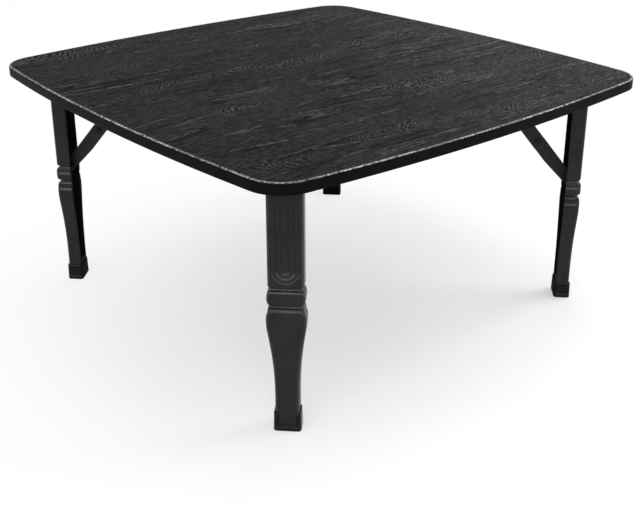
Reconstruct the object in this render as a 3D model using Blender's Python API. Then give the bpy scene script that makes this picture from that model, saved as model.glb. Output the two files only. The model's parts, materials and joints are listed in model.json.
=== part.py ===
"""Low square folding table: a laminated top with bowed sides on four folding corner legs.

Each leg hangs on a pressed rail under a corner of the top and folds flat towards the middle.
A stay of two riveted links props the leg, and folds up inside the leg's open back with it.

One corner is drawn in its own frame and placed four times. In that frame X runs from the middle
of the table out through the corner, Y runs across the leg and Z is up, so (x, z) is the plane in
which the leg and its stay swing.
"""
import math

import bmesh
import bpy
from mathutils import Matrix, Vector
from mathutils.geometry import convex_hull_2d

MM = 0.001
GAP = 0.3 * MM                      # between pieces that seat on each other

# Top
TABLE_HEIGHT = 300.0 * MM
TOP_SIDE = 600.0 * MM               # across the middles of two opposite sides
TOP_THICKNESS = 12.5 * MM
SIDE_BOW_RADIUS = 2509.0 * MM       # the sides are shallow arcs
CORNER_RADIUS = 42.0 * MM
LAMINATE_THICKNESS = 0.8 * MM
BAND_THICKNESS = 1.5 * MM
BAND_CHAMFER = 1.3 * MM             # trimmed upper rim of the edge band
BAND_LOWER_ROUND = 0.8 * MM
BOW_STEPS = 8
CORNER_STEPS = 7

# Leg, measured down from the underside of the top
LEG_CORNER_INSET = 51.7 * MM        # from the tip of the rounded corner to the bead's and shoulder's face
LEG_DEPTH = 18.9 * MM
BLOCK_RECESS = 0.9 * MM             # of the block's face behind the bead and the shoulder
SHAFT_RECESS = 2.2 * MM             # of the shaft's face, reached at the end of the taper
BLOCK_LENGTH = 117.0 * MM
BLOCK_WIDTH = 36.8 * MM
BLOCK_EDGE = 3.3 * MM               # rounded lower edge of the block, down to the upper groove
BEAD_DROP = 11.7 * MM               # upper groove to the crest of the bead
BEAD_FALL = 7.0 * MM                # crest of the bead to the lower groove
BEAD_WIDTH = 39.6 * MM
GROOVE_WIDTH = 33.7 * MM
GROOVE_DEPTH = 3.9 * MM             # into the carved face
SHOULDER_DROP = 17.5 * MM           # lower groove to the widest place
SHOULDER_WIDTH = 41.3 * MM
SHOULDER_STRAIGHT = 4.0 * MM
WAIST_WIDTH = 25.5 * MM
WAIST_HEIGHT = 40.0 * MM            # above the floor, where the taper ends
TAPER_FULLNESS = 0.575              # how far the two ends of the taper's curve hold their width
TAPER_SHOULDER = 0.13
LEG_EDGE_RADIUS = 2.6 * MM
LEG_WALL = 3.4 * MM
BLOCK_WALL = 3.6 * MM               # at each side of the open back in the block
FRONT_WALL = 2.4 * MM               # behind the block's face
CAVITY_DEPTH = 11.4 * MM            # open back, as deep as the grooves in the face allow
CAVITY_FOOT = 27.0 * MM             # above the floor, where the open back ends

# Foot
FOOT_HEIGHT = 21.5 * MM
FOOT_SOLE = 3.0 * MM
FOOT_PROUD = 1.5 * MM               # how far it stands out from the leg
FOOT_FLARE = 0.5 * MM
FOOT_EDGE_RADIUS = 3.0 * MM
FOOT_SOLE_ROUND = 1.2 * MM
FOOT_WINDOW_WIDTH = 19.0 * MM       # the shoe's open front shows the leg
FOOT_LIP = 5.0 * MM

# Pivots in the swing plane: inward from the face of the leg's bead, and down from the underside
LEG_PIVOT_INSET = 12.8 * MM
LEG_PIVOT_DROP = 18.0 * MM
STAY_FOOT_INSET = 15.5 * MM
STAY_FOOT_DROP = 126.2 * MM
STAY_HEAD_INSET = 106.3 * MM
STAY_HEAD_DROP = 12.0 * MM
KNEE_SHARE = 0.45                   # of the way from the stay's foot to its head

# Stay
STAY_WIDTH = 17.3 * MM
STAY_SHEET = 2.0 * MM
STAY_FOOT_END = 10.6 * MM           # width of the lower link's narrow end
STAY_FOOT_TAPER = 37.5 * MM         # from the leg pin to where the lower edge begins to taper
STAY_FOOT_CORNER = 14.0 * MM        # from the leg pin to the end of the straight upper edge
STAY_HEAD_END = 14.0 * MM
STAY_HEAD_TAPER = 34.0 * MM
STAY_LAP = 15.0 * MM                # the upper link runs on past the knee

# Rail and pins
RAIL_SHEET = 1.5 * MM
RAIL_WIDTH = 26.0 * MM
RAIL_TAIL = 12.0 * MM               # past the stay's pin
RAIL_END_RADIUS = 6.0 * MM
LEG_EAR_WIDTH = 15.0 * MM
STAY_EAR_WIDTH = 14.0 * MM
RAIL_SCREW_HOLE = 4.2 * MM
RAIL_SCREW_SPACING = 15.0 * MM      # across the rail
RAIL_SCREW_INSETS = (27.0 * MM, 79.0 * MM)
LEG_PIN_DIAMETER = 5.0 * MM
LEG_PIN_SEAT = 2.2 * MM             # blind hole in each side wall
STAY_PIN_DIAMETER = 4.0 * MM
RIVET_HEAD = 7.6 * MM
RIVET_HEAD_HEIGHT = 1.3 * MM
STAY_BOSS = 10.0 * MM               # boss inside the leg that holds the stay's pin
STAY_PIN_SEAT = 8.0 * MM

# Places that follow from the sizes above
UNDERSIDE = TABLE_HEIGHT - TOP_THICKNESS
BOW_CENTRE = SIDE_BOW_RADIUS - TOP_SIDE / 2
CORNER_CENTRE = (math.sqrt(2 * (SIDE_BOW_RADIUS - CORNER_RADIUS) ** 2 - BOW_CENTRE ** 2) - BOW_CENTRE) / 2
LEG_FACE = math.sqrt(2) * CORNER_CENTRE + CORNER_RADIUS - LEG_CORNER_INSET
LEG_BACK = LEG_FACE - LEG_DEPTH
BLOCK_FACE = LEG_FACE - BLOCK_RECESS
SHAFT_FACE = LEG_FACE - SHAFT_RECESS
LEG_PIVOT = Vector((LEG_FACE - LEG_PIVOT_INSET, UNDERSIDE - LEG_PIVOT_DROP))
STAY_FOOT = Vector((LEG_FACE - STAY_FOOT_INSET, UNDERSIDE - STAY_FOOT_DROP))
STAY_HEAD = Vector((LEG_FACE - STAY_HEAD_INSET, UNDERSIDE - STAY_HEAD_DROP))
KNEE = STAY_FOOT.lerp(STAY_HEAD, KNEE_SHARE)
STAY_RUN = (STAY_HEAD - STAY_FOOT).normalized()
STAY_UPPER_SIDE = Vector((STAY_RUN.y, -STAY_RUN.x))
LEG_TOP = UNDERSIDE - GAP
LEG_TOP_RADIUS = LEG_TOP - LEG_PIVOT.y
BLOCK_FOOT = UNDERSIDE - BLOCK_LENGTH
UPPER_GROOVE = BLOCK_FOOT - BLOCK_EDGE
BEAD_CREST = UPPER_GROOVE - BEAD_DROP
LOWER_GROOVE = BEAD_CREST - BEAD_FALL
SHOULDER = LOWER_GROOVE - SHOULDER_DROP
TAPER_TOP = SHOULDER - SHOULDER_STRAIGHT
CAVITY_WIDTH = BLOCK_WIDTH - 2 * BLOCK_WALL
CAVITY_FACE = LEG_BACK + CAVITY_DEPTH

CORNERS = {"front_left": 225, "front_right": 315, "rear_right": 45, "rear_left": 135}


def clear_scene():
    for item in list(bpy.data.objects):
        bpy.data.objects.remove(item, do_unlink=True)


def finish(name, colour, roughness, metallic=0.0):
    """One plain Principled material."""
    material = bpy.data.materials.new(name)
    material.use_nodes = True
    shader = material.node_tree.nodes["Principled BSDF"]
    shader.inputs["Base Color"].default_value = (*colour, 1.0)
    shader.inputs["Roughness"].default_value = roughness
    shader.inputs["Metallic"].default_value = metallic
    return material


def make_object(name, bm, material=None):
    """Close a bmesh into a smooth-shaded object with its faces pointing out."""
    bmesh.ops.recalc_face_normals(bm, faces=bm.faces)
    mesh = bpy.data.meshes.new(name)
    bm.to_mesh(mesh)
    bm.free()
    mesh.shade_smooth()
    mesh.set_sharp_from_angle(angle=math.radians(32))
    if material:
        mesh.materials.append(material)
    item = bpy.data.objects.new(name, mesh)
    bpy.context.collection.objects.link(item)
    return item


def loft(rings):
    """A closed skin over rings of equal point counts, capped at both ends."""
    bm = bmesh.new()
    loops = [[bm.verts.new(point) for point in ring] for ring in rings]
    count = len(loops[0])
    for lower, upper in zip(loops, loops[1:]):
        for i in range(count):
            j = (i + 1) % count
            bm.faces.new((lower[i], lower[j], upper[j], upper[i]))
    bm.faces.new(loops[0])
    bm.faces.new(loops[-1])
    return bm


def prism(outline, y_from, y_to):
    """An (x, z) outline drawn straight across the leg."""
    return loft([[(x, y, z) for x, z in outline] for y in (y_from, y_to)])


def slab(x_from, x_to, y_from, y_to, z_from, z_to):
    outline = ((x_from, z_from), (x_to, z_from), (x_to, z_to), (x_from, z_to))
    return prism(outline, y_from, y_to)


def turned(centre, profile, sides=16):
    """A round piece whose axis runs across the leg: rows of (y, diameter)."""
    turns = [math.tau * i / sides for i in range(sides)]
    return loft([
        [(centre.x + d / 2 * math.cos(t), y, centre.y + d / 2 * math.sin(t)) for t in turns]
        for y, d in profile
    ])


def hull(discs, sides=20):
    """Outline of a strap drawn tight round discs of (centre, diameter)."""
    points = []
    for centre, diameter in discs:
        for i in range(sides):
            turn = math.tau * i / sides
            points.append(centre + diameter / 2 * Vector((math.cos(turn), math.sin(turn))))
    return [points[i] for i in convex_hull_2d(points)]


def combine(item, operation, bm):
    """Join a shape to an object, or cut it out, and keep the result as its mesh."""
    tool = make_object("tool", bm)
    tool.hide_render = True
    tool.display_type = 'WIRE'
    step = item.modifiers.new(operation.lower(), 'BOOLEAN')
    step.operation = operation
    step.solver = 'EXACT'
    step.object = tool
    depsgraph = bpy.context.evaluated_depsgraph_get()
    result = bpy.data.meshes.new_from_object(item.evaluated_get(depsgraph))
    item.modifiers.remove(step)
    item.data = result
    bpy.data.objects.remove(tool, do_unlink=True)


def top_outline(inset, z):
    """The top's edge, drawn in by inset: four shallow arcs joined by round corners."""
    ring = []
    bow = SIDE_BOW_RADIUS - inset
    corner = CORNER_RADIUS - inset
    half_turn = math.atan2(CORNER_CENTRE, CORNER_CENTRE + BOW_CENTRE)
    for quarter in range(4):
        turn = Matrix.Rotation(quarter * math.pi / 2, 2)
        points = []
        for i in range(BOW_STEPS):
            angle = half_turn * (2 * i / BOW_STEPS - 1)
            points.append(Vector((bow * math.cos(angle) - BOW_CENTRE, bow * math.sin(angle))))
        for i in range(CORNER_STEPS):
            angle = half_turn + (math.pi / 2 - 2 * half_turn) * i / CORNER_STEPS
            points.append(Vector((CORNER_CENTRE, CORNER_CENTRE))
                          + corner * Vector((math.cos(angle), math.sin(angle))))
        ring += [turn @ point for point in points]
    return [(point.x, point.y, z) for point in ring]


def build_top(materials):
    core_edge = BAND_THICKNESS + GAP
    core_top = TABLE_HEIGHT - LAMINATE_THICKNESS - GAP
    core = loft([top_outline(core_edge, UNDERSIDE), top_outline(core_edge, core_top)])
    make_object("top_board", core, materials["board"])

    sheet_foot = TABLE_HEIGHT - LAMINATE_THICKNESS
    sheet = loft([top_outline(core_edge, sheet_foot), top_outline(core_edge, TABLE_HEIGHT)])
    make_object("top_laminate", sheet, materials["laminate"])

    band = loft([
        top_outline(BAND_LOWER_ROUND, UNDERSIDE),
        top_outline(0, UNDERSIDE + BAND_LOWER_ROUND),
        top_outline(0, TABLE_HEIGHT - BAND_CHAMFER),
        top_outline(BAND_CHAMFER, TABLE_HEIGHT),
    ])
    band = make_object("edge_band", band, materials["band"])
    combine(band, 'DIFFERENCE', loft([
        top_outline(BAND_THICKNESS, UNDERSIDE - BAND_THICKNESS),
        top_outline(BAND_THICKNESS, TABLE_HEIGHT + BAND_THICKNESS),
    ]))


def rise(start, end, steps):
    """Rows of a quarter wave from a groove to a crest, without the groove itself."""
    rows = []
    for i in range(1, steps + 1):
        share = i / steps
        swell = math.sin(share * math.pi / 2)
        rows.append((start[0] + (end[0] - start[0]) * share,
                     start[1] + (end[1] - start[1]) * swell,
                     start[2] + (end[2] - start[2]) * swell))
    return rows


def taper(steps):
    """Rows of the leg's S-shaped taper, a cubic curve from the waist to the shoulder."""
    low, high = WAIST_HEIGHT, TAPER_TOP
    pulls = (low, low + TAPER_FULLNESS * (high - low), high - TAPER_SHOULDER * (high - low), high)
    rows = []
    for i in range(steps + 1):
        u = i / steps
        weights = ((1 - u) ** 3, 3 * u * (1 - u) ** 2, 3 * u * u * (1 - u), u ** 3)
        z = sum(w * p for w, p in zip(weights, pulls))
        narrow = weights[0] + weights[1]
        rows.append((z, (WAIST_WIDTH * narrow + SHOULDER_WIDTH * (1 - narrow)) / 2,
                     SHAFT_FACE * narrow + LEG_FACE * (1 - narrow)))
    return rows


def leg_rows():
    """Height, half width and face of the leg, from the sole up to its top."""
    upper_groove = (UPPER_GROOVE, GROOVE_WIDTH / 2, LEG_FACE - GROOVE_DEPTH)
    lower_groove = (LOWER_GROOVE, GROOVE_WIDTH / 2, LEG_FACE - GROOVE_DEPTH)
    crest = (BEAD_CREST, BEAD_WIDTH / 2, LEG_FACE)
    shoulder = (SHOULDER, SHOULDER_WIDTH / 2, LEG_FACE)
    block_foot = (BLOCK_FOOT, BLOCK_WIDTH / 2, BLOCK_FACE)
    rows = [(FOOT_SOLE + GAP, WAIST_WIDTH / 2, SHAFT_FACE)]
    rows += taper(8)
    rows += rise(lower_groove, shoulder, 4)[::-1]
    rows += [lower_groove]
    rows += rise(lower_groove, crest, 3)
    rows += rise(upper_groove, crest, 4)[-2::-1]
    rows += [upper_groove]
    rows += rise(upper_groove, block_foot, 3)
    rows += [(LEG_TOP, BLOCK_WIDTH / 2, BLOCK_FACE)]
    return rows


def leg_ring(z, half, face, back):
    """A cross-section with a flat back and rounded front edges."""
    radius = min(LEG_EDGE_RADIUS, (face - back) / 2)
    ring = [(back, half), (back, -half)]
    for side, turn in ((-1, -90), (1, 0)):
        for i in range(4):
            angle = math.radians(turn + 30 * i)
            ring.append((face - radius + radius * math.cos(angle),
                         side * (half - radius) + radius * math.sin(angle)))
    return [(x, y, z) for x, y in ring]


def half_width_at(z):
    """Half width of the leg between its rows."""
    rows = leg_rows()
    for low, high in zip(rows, rows[1:]):
        if low[0] <= z <= high[0]:
            share = (z - low[0]) / (high[0] - low[0])
            return low[1] + (high[1] - low[1]) * share
    return rows[-1][1]


def build_leg(materials):
    """Moulded leg: a carved front and sides with an open back and bosses for the pins."""
    rows = leg_rows()
    rings = [leg_ring(z, half, face, LEG_BACK) for z, half, face in rows[:-1]]
    start = math.asin(min((LEG_PIVOT.x - LEG_BACK) / LEG_TOP_RADIUS, 1.0))
    for i in range(4):
        lean = start * (1 - i / 3)
        z = LEG_PIVOT.y + LEG_TOP_RADIUS * math.cos(lean)
        back = LEG_PIVOT.x - LEG_TOP_RADIUS * math.sin(lean)
        rings.append(leg_ring(z, BLOCK_WIDTH / 2, BLOCK_FACE, back))
    leg = make_object("leg", loft(rings), materials["leg"])

    behind = LEG_BACK - LEG_DEPTH
    heights = [CAVITY_FOOT] + [row[0] for row in taper(8) if row[0] > CAVITY_FOOT]
    heights += [LEG_TOP + LEG_WALL]
    opening = []
    for z in heights:
        half = min(CAVITY_WIDTH / 2, half_width_at(z) - LEG_WALL)
        opening.append([(behind, -half, z), (CAVITY_FACE, -half, z),
                        (CAVITY_FACE, half, z), (behind, half, z)])
    combine(leg, 'DIFFERENCE', loft(opening))
    combine(leg, 'DIFFERENCE', slab(CAVITY_FACE - LEG_WALL, BLOCK_FACE - FRONT_WALL,
                                    -CAVITY_WIDTH / 2, CAVITY_WIDTH / 2,
                                    BLOCK_FOOT + LEG_WALL, LEG_TOP + LEG_WALL))

    wall = CAVITY_WIDTH / 2
    pin = STAY_PIN_DIAMETER + 2 * GAP
    boss_face = STAY_SHEET + 2 * GAP
    combine(leg, 'UNION', turned(STAY_FOOT, ((boss_face, STAY_BOSS), (wall + LEG_WALL / 2, STAY_BOSS))))
    combine(leg, 'DIFFERENCE', turned(STAY_FOOT, ((0, pin), (boss_face + STAY_PIN_SEAT + GAP, pin))))
    hole = LEG_PIN_DIAMETER + 2 * GAP
    reach = wall + LEG_PIN_SEAT + GAP
    combine(leg, 'DIFFERENCE', turned(LEG_PIVOT, ((-reach, hole), (reach, hole))))
    return leg


def build_foot(materials):
    """Moulded shoe over the end of the leg, open in front above a lip."""
    half = WAIST_WIDTH / 2 + FOOT_PROUD
    face, back = SHAFT_FACE + FOOT_PROUD, LEG_BACK - FOOT_PROUD

    def ring(z, grow):
        edge = FOOT_EDGE_RADIUS
        points = []
        for x, y, turn in ((face, half, 0), (back, half, 90), (back, -half, 180), (face, -half, 270)):
            inward = Vector((1 if x == back else -1, 1 if y < 0 else -1))
            for i in range(4):
                angle = math.radians(turn + 30 * i)
                points.append(Vector((x, y)) + inward * (edge - grow)
                              + edge * Vector((math.cos(angle), math.sin(angle))))
        return [(p.x, p.y, z) for p in points]

    foot = make_object("foot", loft([
        ring(0, FOOT_FLARE - FOOT_SOLE_ROUND),
        ring(FOOT_SOLE_ROUND, FOOT_FLARE),
        ring(FOOT_HEIGHT, 0),
    ]), materials["foot"])
    top = FOOT_HEIGHT + FOOT_SOLE
    socket = [leg_ring(z, WAIST_WIDTH / 2 + GAP, SHAFT_FACE + GAP, LEG_BACK - GAP) for z in (FOOT_SOLE, top)]
    combine(foot, 'DIFFERENCE', loft(socket))
    combine(foot, 'DIFFERENCE', slab(SHAFT_FACE - FOOT_PROUD, face + FOOT_PROUD,
                                     -FOOT_WINDOW_WIDTH / 2, FOOT_WINDOW_WIDTH / 2, FOOT_LIP, top))
    return foot


def rail_screw_places():
    """Screw holes of a rail, as (x, y)."""
    return [(LEG_FACE - inset, side * RAIL_SCREW_SPACING / 2)
            for inset in RAIL_SCREW_INSETS for side in (-1, 1)]


def build_rail(materials):
    """Pressed rail under the top: two ears for the leg and one for the stay."""
    plate_foot = UNDERSIDE - GAP - RAIL_SHEET
    x_from = STAY_HEAD.x - RAIL_TAIL
    x_to = BLOCK_FACE - FRONT_WALL - 2 * GAP
    half = RAIL_WIDTH / 2
    outline = []
    for x, y, turn in ((x_to, half, 0), (x_from, half, 90), (x_from, -half, 180), (x_to, -half, 270)):
        inward = Vector((1 if x == x_from else -1, 1 if y < 0 else -1)) * RAIL_END_RADIUS
        for i in range(4):
            angle = math.radians(turn + 30 * i)
            outline.append(Vector((x, y)) + inward
                           + RAIL_END_RADIUS * Vector((math.cos(angle), math.sin(angle))))
    rail = make_object("rail", loft([
        [(p.x, p.y, z) for p in outline] for z in (plate_foot, UNDERSIDE - GAP)
    ]), materials["steel"])

    def add_ear(pivot, width, y_from, y_to, hole):
        root = Vector((pivot.x, plate_foot + RAIL_SHEET / 2))
        corner = RAIL_SHEET / 4
        sides = [(root + Vector((s * (width - corner) / 2, 0)), corner) for s in (-1, 1)]
        combine(rail, 'UNION', prism(hull([(pivot, width)] + sides), y_from, y_to))
        combine(rail, 'DIFFERENCE', turned(pivot, ((y_from - RAIL_SHEET, hole), (y_to + RAIL_SHEET, hole))))

    leg_hole = LEG_PIN_DIAMETER + 2 * GAP
    ear = half - RAIL_SHEET
    add_ear(LEG_PIVOT, LEG_EAR_WIDTH, ear, half, leg_hole)
    add_ear(LEG_PIVOT, LEG_EAR_WIDTH, -half, -ear, leg_hole)
    stay_ear = -(STAY_SHEET + 2 * GAP)
    add_ear(STAY_HEAD, STAY_EAR_WIDTH, stay_ear - RAIL_SHEET, stay_ear, STAY_PIN_DIAMETER + 2 * GAP)
    for x, y in rail_screw_places():
        turns = [math.tau * i / 12 for i in range(12)]
        hole = RAIL_SCREW_HOLE / 2
        combine(rail, 'DIFFERENCE', loft([
            [(x + hole * math.cos(t), y + hole * math.sin(t), z) for t in turns]
            for z in (plate_foot - RAIL_SHEET, UNDERSIDE + RAIL_SHEET)
        ]))
    return rail


def build_stay_lower(materials):
    """Link on the leg: full width at the knee, its lower edge cut back towards the leg pin."""
    edge = STAY_WIDTH / 2
    corner = STAY_SHEET / 2
    straight = STAY_FOOT + STAY_RUN * STAY_FOOT_CORNER + STAY_UPPER_SIDE * (edge - corner)
    cut_back = STAY_FOOT + STAY_RUN * STAY_FOOT_TAPER - STAY_UPPER_SIDE * (edge - corner)
    outline = hull([(KNEE, STAY_WIDTH), (STAY_FOOT, STAY_FOOT_END),
                    (straight, 2 * corner), (cut_back, 2 * corner)])
    link = make_object("stay_lower", prism(outline, GAP, GAP + STAY_SHEET), materials["stay"])
    hole = STAY_PIN_DIAMETER + 2 * GAP
    for centre in (STAY_FOOT, KNEE):
        combine(link, 'DIFFERENCE', turned(centre, ((-GAP, hole), (2 * STAY_SHEET, hole))))
    return link


def build_stay_upper(materials):
    """Link on the rail: it laps past the knee on the other side of the lower link."""
    full = STAY_HEAD - STAY_RUN * STAY_HEAD_TAPER
    lap = KNEE - STAY_RUN * (STAY_LAP - STAY_WIDTH / 2)
    outline = hull([(STAY_HEAD, STAY_HEAD_END), (full, STAY_WIDTH), (lap, STAY_WIDTH)])
    link = make_object("stay_upper", prism(outline, -GAP - STAY_SHEET, -GAP), materials["stay"])
    hole = STAY_PIN_DIAMETER + 2 * GAP
    for centre in (STAY_HEAD, KNEE):
        combine(link, 'DIFFERENCE', turned(centre, ((-2 * STAY_SHEET, hole), (GAP, hole))))
    return link


def rivet_profile(face, shank_end):
    """A domed head on a sheet's face, with a shank that ends flush in the sheet."""
    out = 1 if face > shank_end else -1
    seat = face + out * GAP
    return ((shank_end, STAY_PIN_DIAMETER), (seat, STAY_PIN_DIAMETER), (seat, RIVET_HEAD),
            (seat + out * RIVET_HEAD_HEIGHT * 0.55, RIVET_HEAD * 0.86),
            (seat + out * RIVET_HEAD_HEIGHT, RIVET_HEAD * 0.42))


def build_pins(materials):
    """Leg pin, stay pins and the two halves of the knee rivet."""
    steel = materials["pin"]
    wall = CAVITY_WIDTH / 2 + LEG_PIN_SEAT
    lower_face = GAP + STAY_SHEET
    upper_face = -GAP - STAY_SHEET
    ear_face = -(STAY_SHEET + 2 * GAP) - RAIL_SHEET
    pin_end = STAY_SHEET + 2 * GAP + STAY_PIN_SEAT
    return {
        "leg_pin": (make_object("leg_pin", turned(LEG_PIVOT, (
            (-wall, LEG_PIN_DIAMETER), (wall, LEG_PIN_DIAMETER))), steel), LEG_PIVOT),
        "stay_leg_pin": (make_object("stay_leg_pin", turned(STAY_FOOT, (
            (GAP, STAY_PIN_DIAMETER), (pin_end, STAY_PIN_DIAMETER))), steel), STAY_FOOT),
        "stay_rail_pin": (make_object("stay_rail_pin", turned(
            STAY_HEAD, rivet_profile(ear_face, -GAP)), steel), STAY_HEAD),
        "knee_rivet": (make_object("knee_rivet", turned(
            KNEE, rivet_profile(upper_face, -GAP)), steel), KNEE),
        "knee_rivet_tail": (make_object("knee_rivet_tail", turned(
            KNEE, rivet_profile(lower_face, GAP)), steel), KNEE),
    }


def build_corner(materials):
    """The pieces of one corner with the pivot that each turns about, in the corner's own frame."""
    pieces = {
        "rail": (build_rail(materials), STAY_HEAD),
        "leg": (build_leg(materials), LEG_PIVOT),
        "foot": (build_foot(materials), LEG_PIVOT),
        "stay_lower": (build_stay_lower(materials), STAY_FOOT),
        "stay_upper": (build_stay_upper(materials), STAY_HEAD),
    }
    pieces.update(build_pins(materials))
    return pieces


def place_corners(pieces):
    """Four copies of the corner, each piece with its origin on its own pivot."""
    for item, pivot in pieces.values():
        item.data.transform(Matrix.Translation((-pivot.x, 0, -pivot.y)))
    for corner, angle in CORNERS.items():
        frame = bpy.data.objects.new(f"corner_{corner}", None)
        frame.rotation_euler.z = math.radians(angle)
        bpy.context.collection.objects.link(frame)
        for name, (item, pivot) in pieces.items():
            copy = bpy.data.objects.new(f"{name}_{corner}", item.data)
            copy.parent = frame
            copy.location = (pivot.x, 0, pivot.y)
            bpy.context.collection.objects.link(copy)
    for item, _pivot in pieces.values():
        bpy.data.objects.remove(item, do_unlink=True)


def main():
    clear_scene()
    materials = {
        "laminate": finish("wood_grain_laminate", (0.022, 0.022, 0.024), 0.45),
        "board": finish("faced_fibreboard", (0.03, 0.03, 0.032), 0.85),
        "band": finish("black_edge_band", (0.010, 0.010, 0.011), 0.4),
        "leg": finish("black_moulded_plastic", (0.014, 0.014, 0.015), 0.38),
        "foot": finish("black_foot_plastic", (0.012, 0.012, 0.013), 0.45),
        "steel": finish("black_rail_steel", (0.02, 0.02, 0.022), 0.5, 0.4),
        "stay": finish("black_stay_steel", (0.03, 0.03, 0.032), 0.45, 0.4),
        "pin": finish("dark_pin_steel", (0.05, 0.05, 0.055), 0.35, 0.8),
    }
    build_top(materials)
    place_corners(build_corner(materials))
    bpy.context.view_layer.update()


main()
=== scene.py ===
"""Surfaces and finishes of a low folding table with a charcoal wood-grain top and carved legs.

The file is laid out as an add-on and is run as a script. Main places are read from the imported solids,
finer sizes are the named values below, and each piece is a surface worked out as whole arrays of points.
"""
import json
import math

import bpy
import numpy as np
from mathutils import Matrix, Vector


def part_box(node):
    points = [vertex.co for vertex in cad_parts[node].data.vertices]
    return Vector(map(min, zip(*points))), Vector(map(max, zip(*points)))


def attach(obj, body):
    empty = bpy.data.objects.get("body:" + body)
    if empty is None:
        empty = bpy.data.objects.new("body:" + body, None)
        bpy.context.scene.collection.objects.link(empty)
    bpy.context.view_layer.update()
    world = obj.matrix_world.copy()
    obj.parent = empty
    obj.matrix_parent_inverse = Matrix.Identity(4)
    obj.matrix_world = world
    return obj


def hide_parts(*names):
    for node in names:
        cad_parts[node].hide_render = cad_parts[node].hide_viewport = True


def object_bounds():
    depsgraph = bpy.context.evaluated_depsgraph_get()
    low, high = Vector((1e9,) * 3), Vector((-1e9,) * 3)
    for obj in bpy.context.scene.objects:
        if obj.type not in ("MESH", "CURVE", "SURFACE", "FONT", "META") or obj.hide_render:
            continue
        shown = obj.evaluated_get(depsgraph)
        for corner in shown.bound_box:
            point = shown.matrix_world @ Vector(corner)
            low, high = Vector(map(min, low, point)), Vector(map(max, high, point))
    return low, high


bl_info = {
    "name": "Folding Table Finish",
    "version": (1, 0, 0),
    "blender": (4, 5, 0),
    "location": "View3D > Sidebar > Folding Table",
    "description": "Carved legs, wood-grain top and fittings around the solids of a folding table",
    "category": "Object",
}

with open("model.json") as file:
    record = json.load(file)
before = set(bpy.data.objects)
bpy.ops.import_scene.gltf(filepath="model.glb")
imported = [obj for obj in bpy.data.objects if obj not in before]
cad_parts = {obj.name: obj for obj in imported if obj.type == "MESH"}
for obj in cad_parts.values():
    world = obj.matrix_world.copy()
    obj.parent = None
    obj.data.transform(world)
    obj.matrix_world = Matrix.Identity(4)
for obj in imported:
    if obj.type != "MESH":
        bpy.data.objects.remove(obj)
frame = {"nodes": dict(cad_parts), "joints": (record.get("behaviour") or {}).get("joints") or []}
CAD_BOX = [list(corner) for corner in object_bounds()]

MM = 0.001
CORNERS = ("front_left", "front_right", "rear_right", "rear_left")
UP = np.array((0.0, 0.0, 1.0))


# Places read from the frame

def joint_named(name):
    return next(joint for joint in frame["joints"] if joint["name"] == name)


def corner_axes(corner):
    """Unit vectors of a corner as rows: outwards, across the leg along its fold's axis, and up."""
    across = np.array(joint_named(f"leg_fold_{corner}")["axis"], float)
    return np.stack([np.cross(across, UP), across, UP])


OUTWARD, ACROSS = corner_axes("front_left")[:2]


def node_reach(node, direction):
    """Lowest and highest place of a solid of the front left corner along a direction."""
    mesh = frame["nodes"][f"{node}_front_left"].data
    points = np.empty(len(mesh.vertices) * 3, np.float32)
    mesh.vertices.foreach_get("co", points)
    along = points.reshape(-1, 3) @ direction
    return float(along.min()), float(along.max())


def swing_place(joint):
    """A pivot in its corner's swing plane: distance from the middle of the table, and height."""
    place = np.array(joint_named(f"{joint}_front_left")["pos_m"], float)
    return np.array((place @ OUTWARD, place[2]))


TABLE_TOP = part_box("top_laminate")[1].z
SHEET_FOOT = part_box("top_laminate")[0].z
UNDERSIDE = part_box("top_board")[0].z
TOP_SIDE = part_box("edge_band")[1].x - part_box("edge_band")[0].x
SHEET_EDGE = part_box("edge_band")[1].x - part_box("top_laminate")[1].x
RAIL_SHEET = 1.8 * MM
RAIL_FOOT = UNDERSIDE - RAIL_SHEET
LEG_DEPTH = 18.9 * MM  # without the pin bosses, which stand out of the back
LEG_FACE = node_reach("leg", OUTWARD)[1]
LEG_BACK = LEG_FACE - LEG_DEPTH
LEG_SOLE, LEG_TOP = node_reach("leg", UP)
FOOT_TOP = node_reach("foot", UP)[1]
LEG_PIVOT = swing_place("leg_fold")
STAY_HEAD = swing_place("stay_head")
STAY_FOOT = swing_place("stay_foot")
KNEE = np.array([np.mean(node_reach("knee_rivet", axis)) for axis in (OUTWARD, UP)])

# Pieces as meshes
SHARP_ANGLE = math.radians(40)
PIN_SIDES = 40
BOSS_SIDES = 32
SCREW_SIDES = 64

# Top
SIDE_BOW_RADIUS = 2509.0 * MM
CORNER_RADIUS = 42.0 * MM
BAND_THICKNESS = 1.5 * MM
BAND_CHAMFER = 1.3 * MM
BAND_BELLY = 0.10 * MM  # how far the cut rim bulges over its chamfer
BAND_LOWER_ROUND = 0.8 * MM
RIM_SUPPORT = 0.2 * MM  # a ring this far below the cut rim keeps its edge crisp
SHEET_ROUND = 0.25 * MM
SHEET_RINGS = (0.97, 0.85, 0.6, 0.3, 0.02)
WORN_STRIP = 1.7 * MM  # along the laminate's edge
BOW_CENTRE = SIDE_BOW_RADIUS - TOP_SIDE / 2
CORNER_CENTRE = (math.sqrt(2 * (SIDE_BOW_RADIUS - CORNER_RADIUS) ** 2 - BOW_CENTRE ** 2) - BOW_CENTRE) / 2

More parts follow.
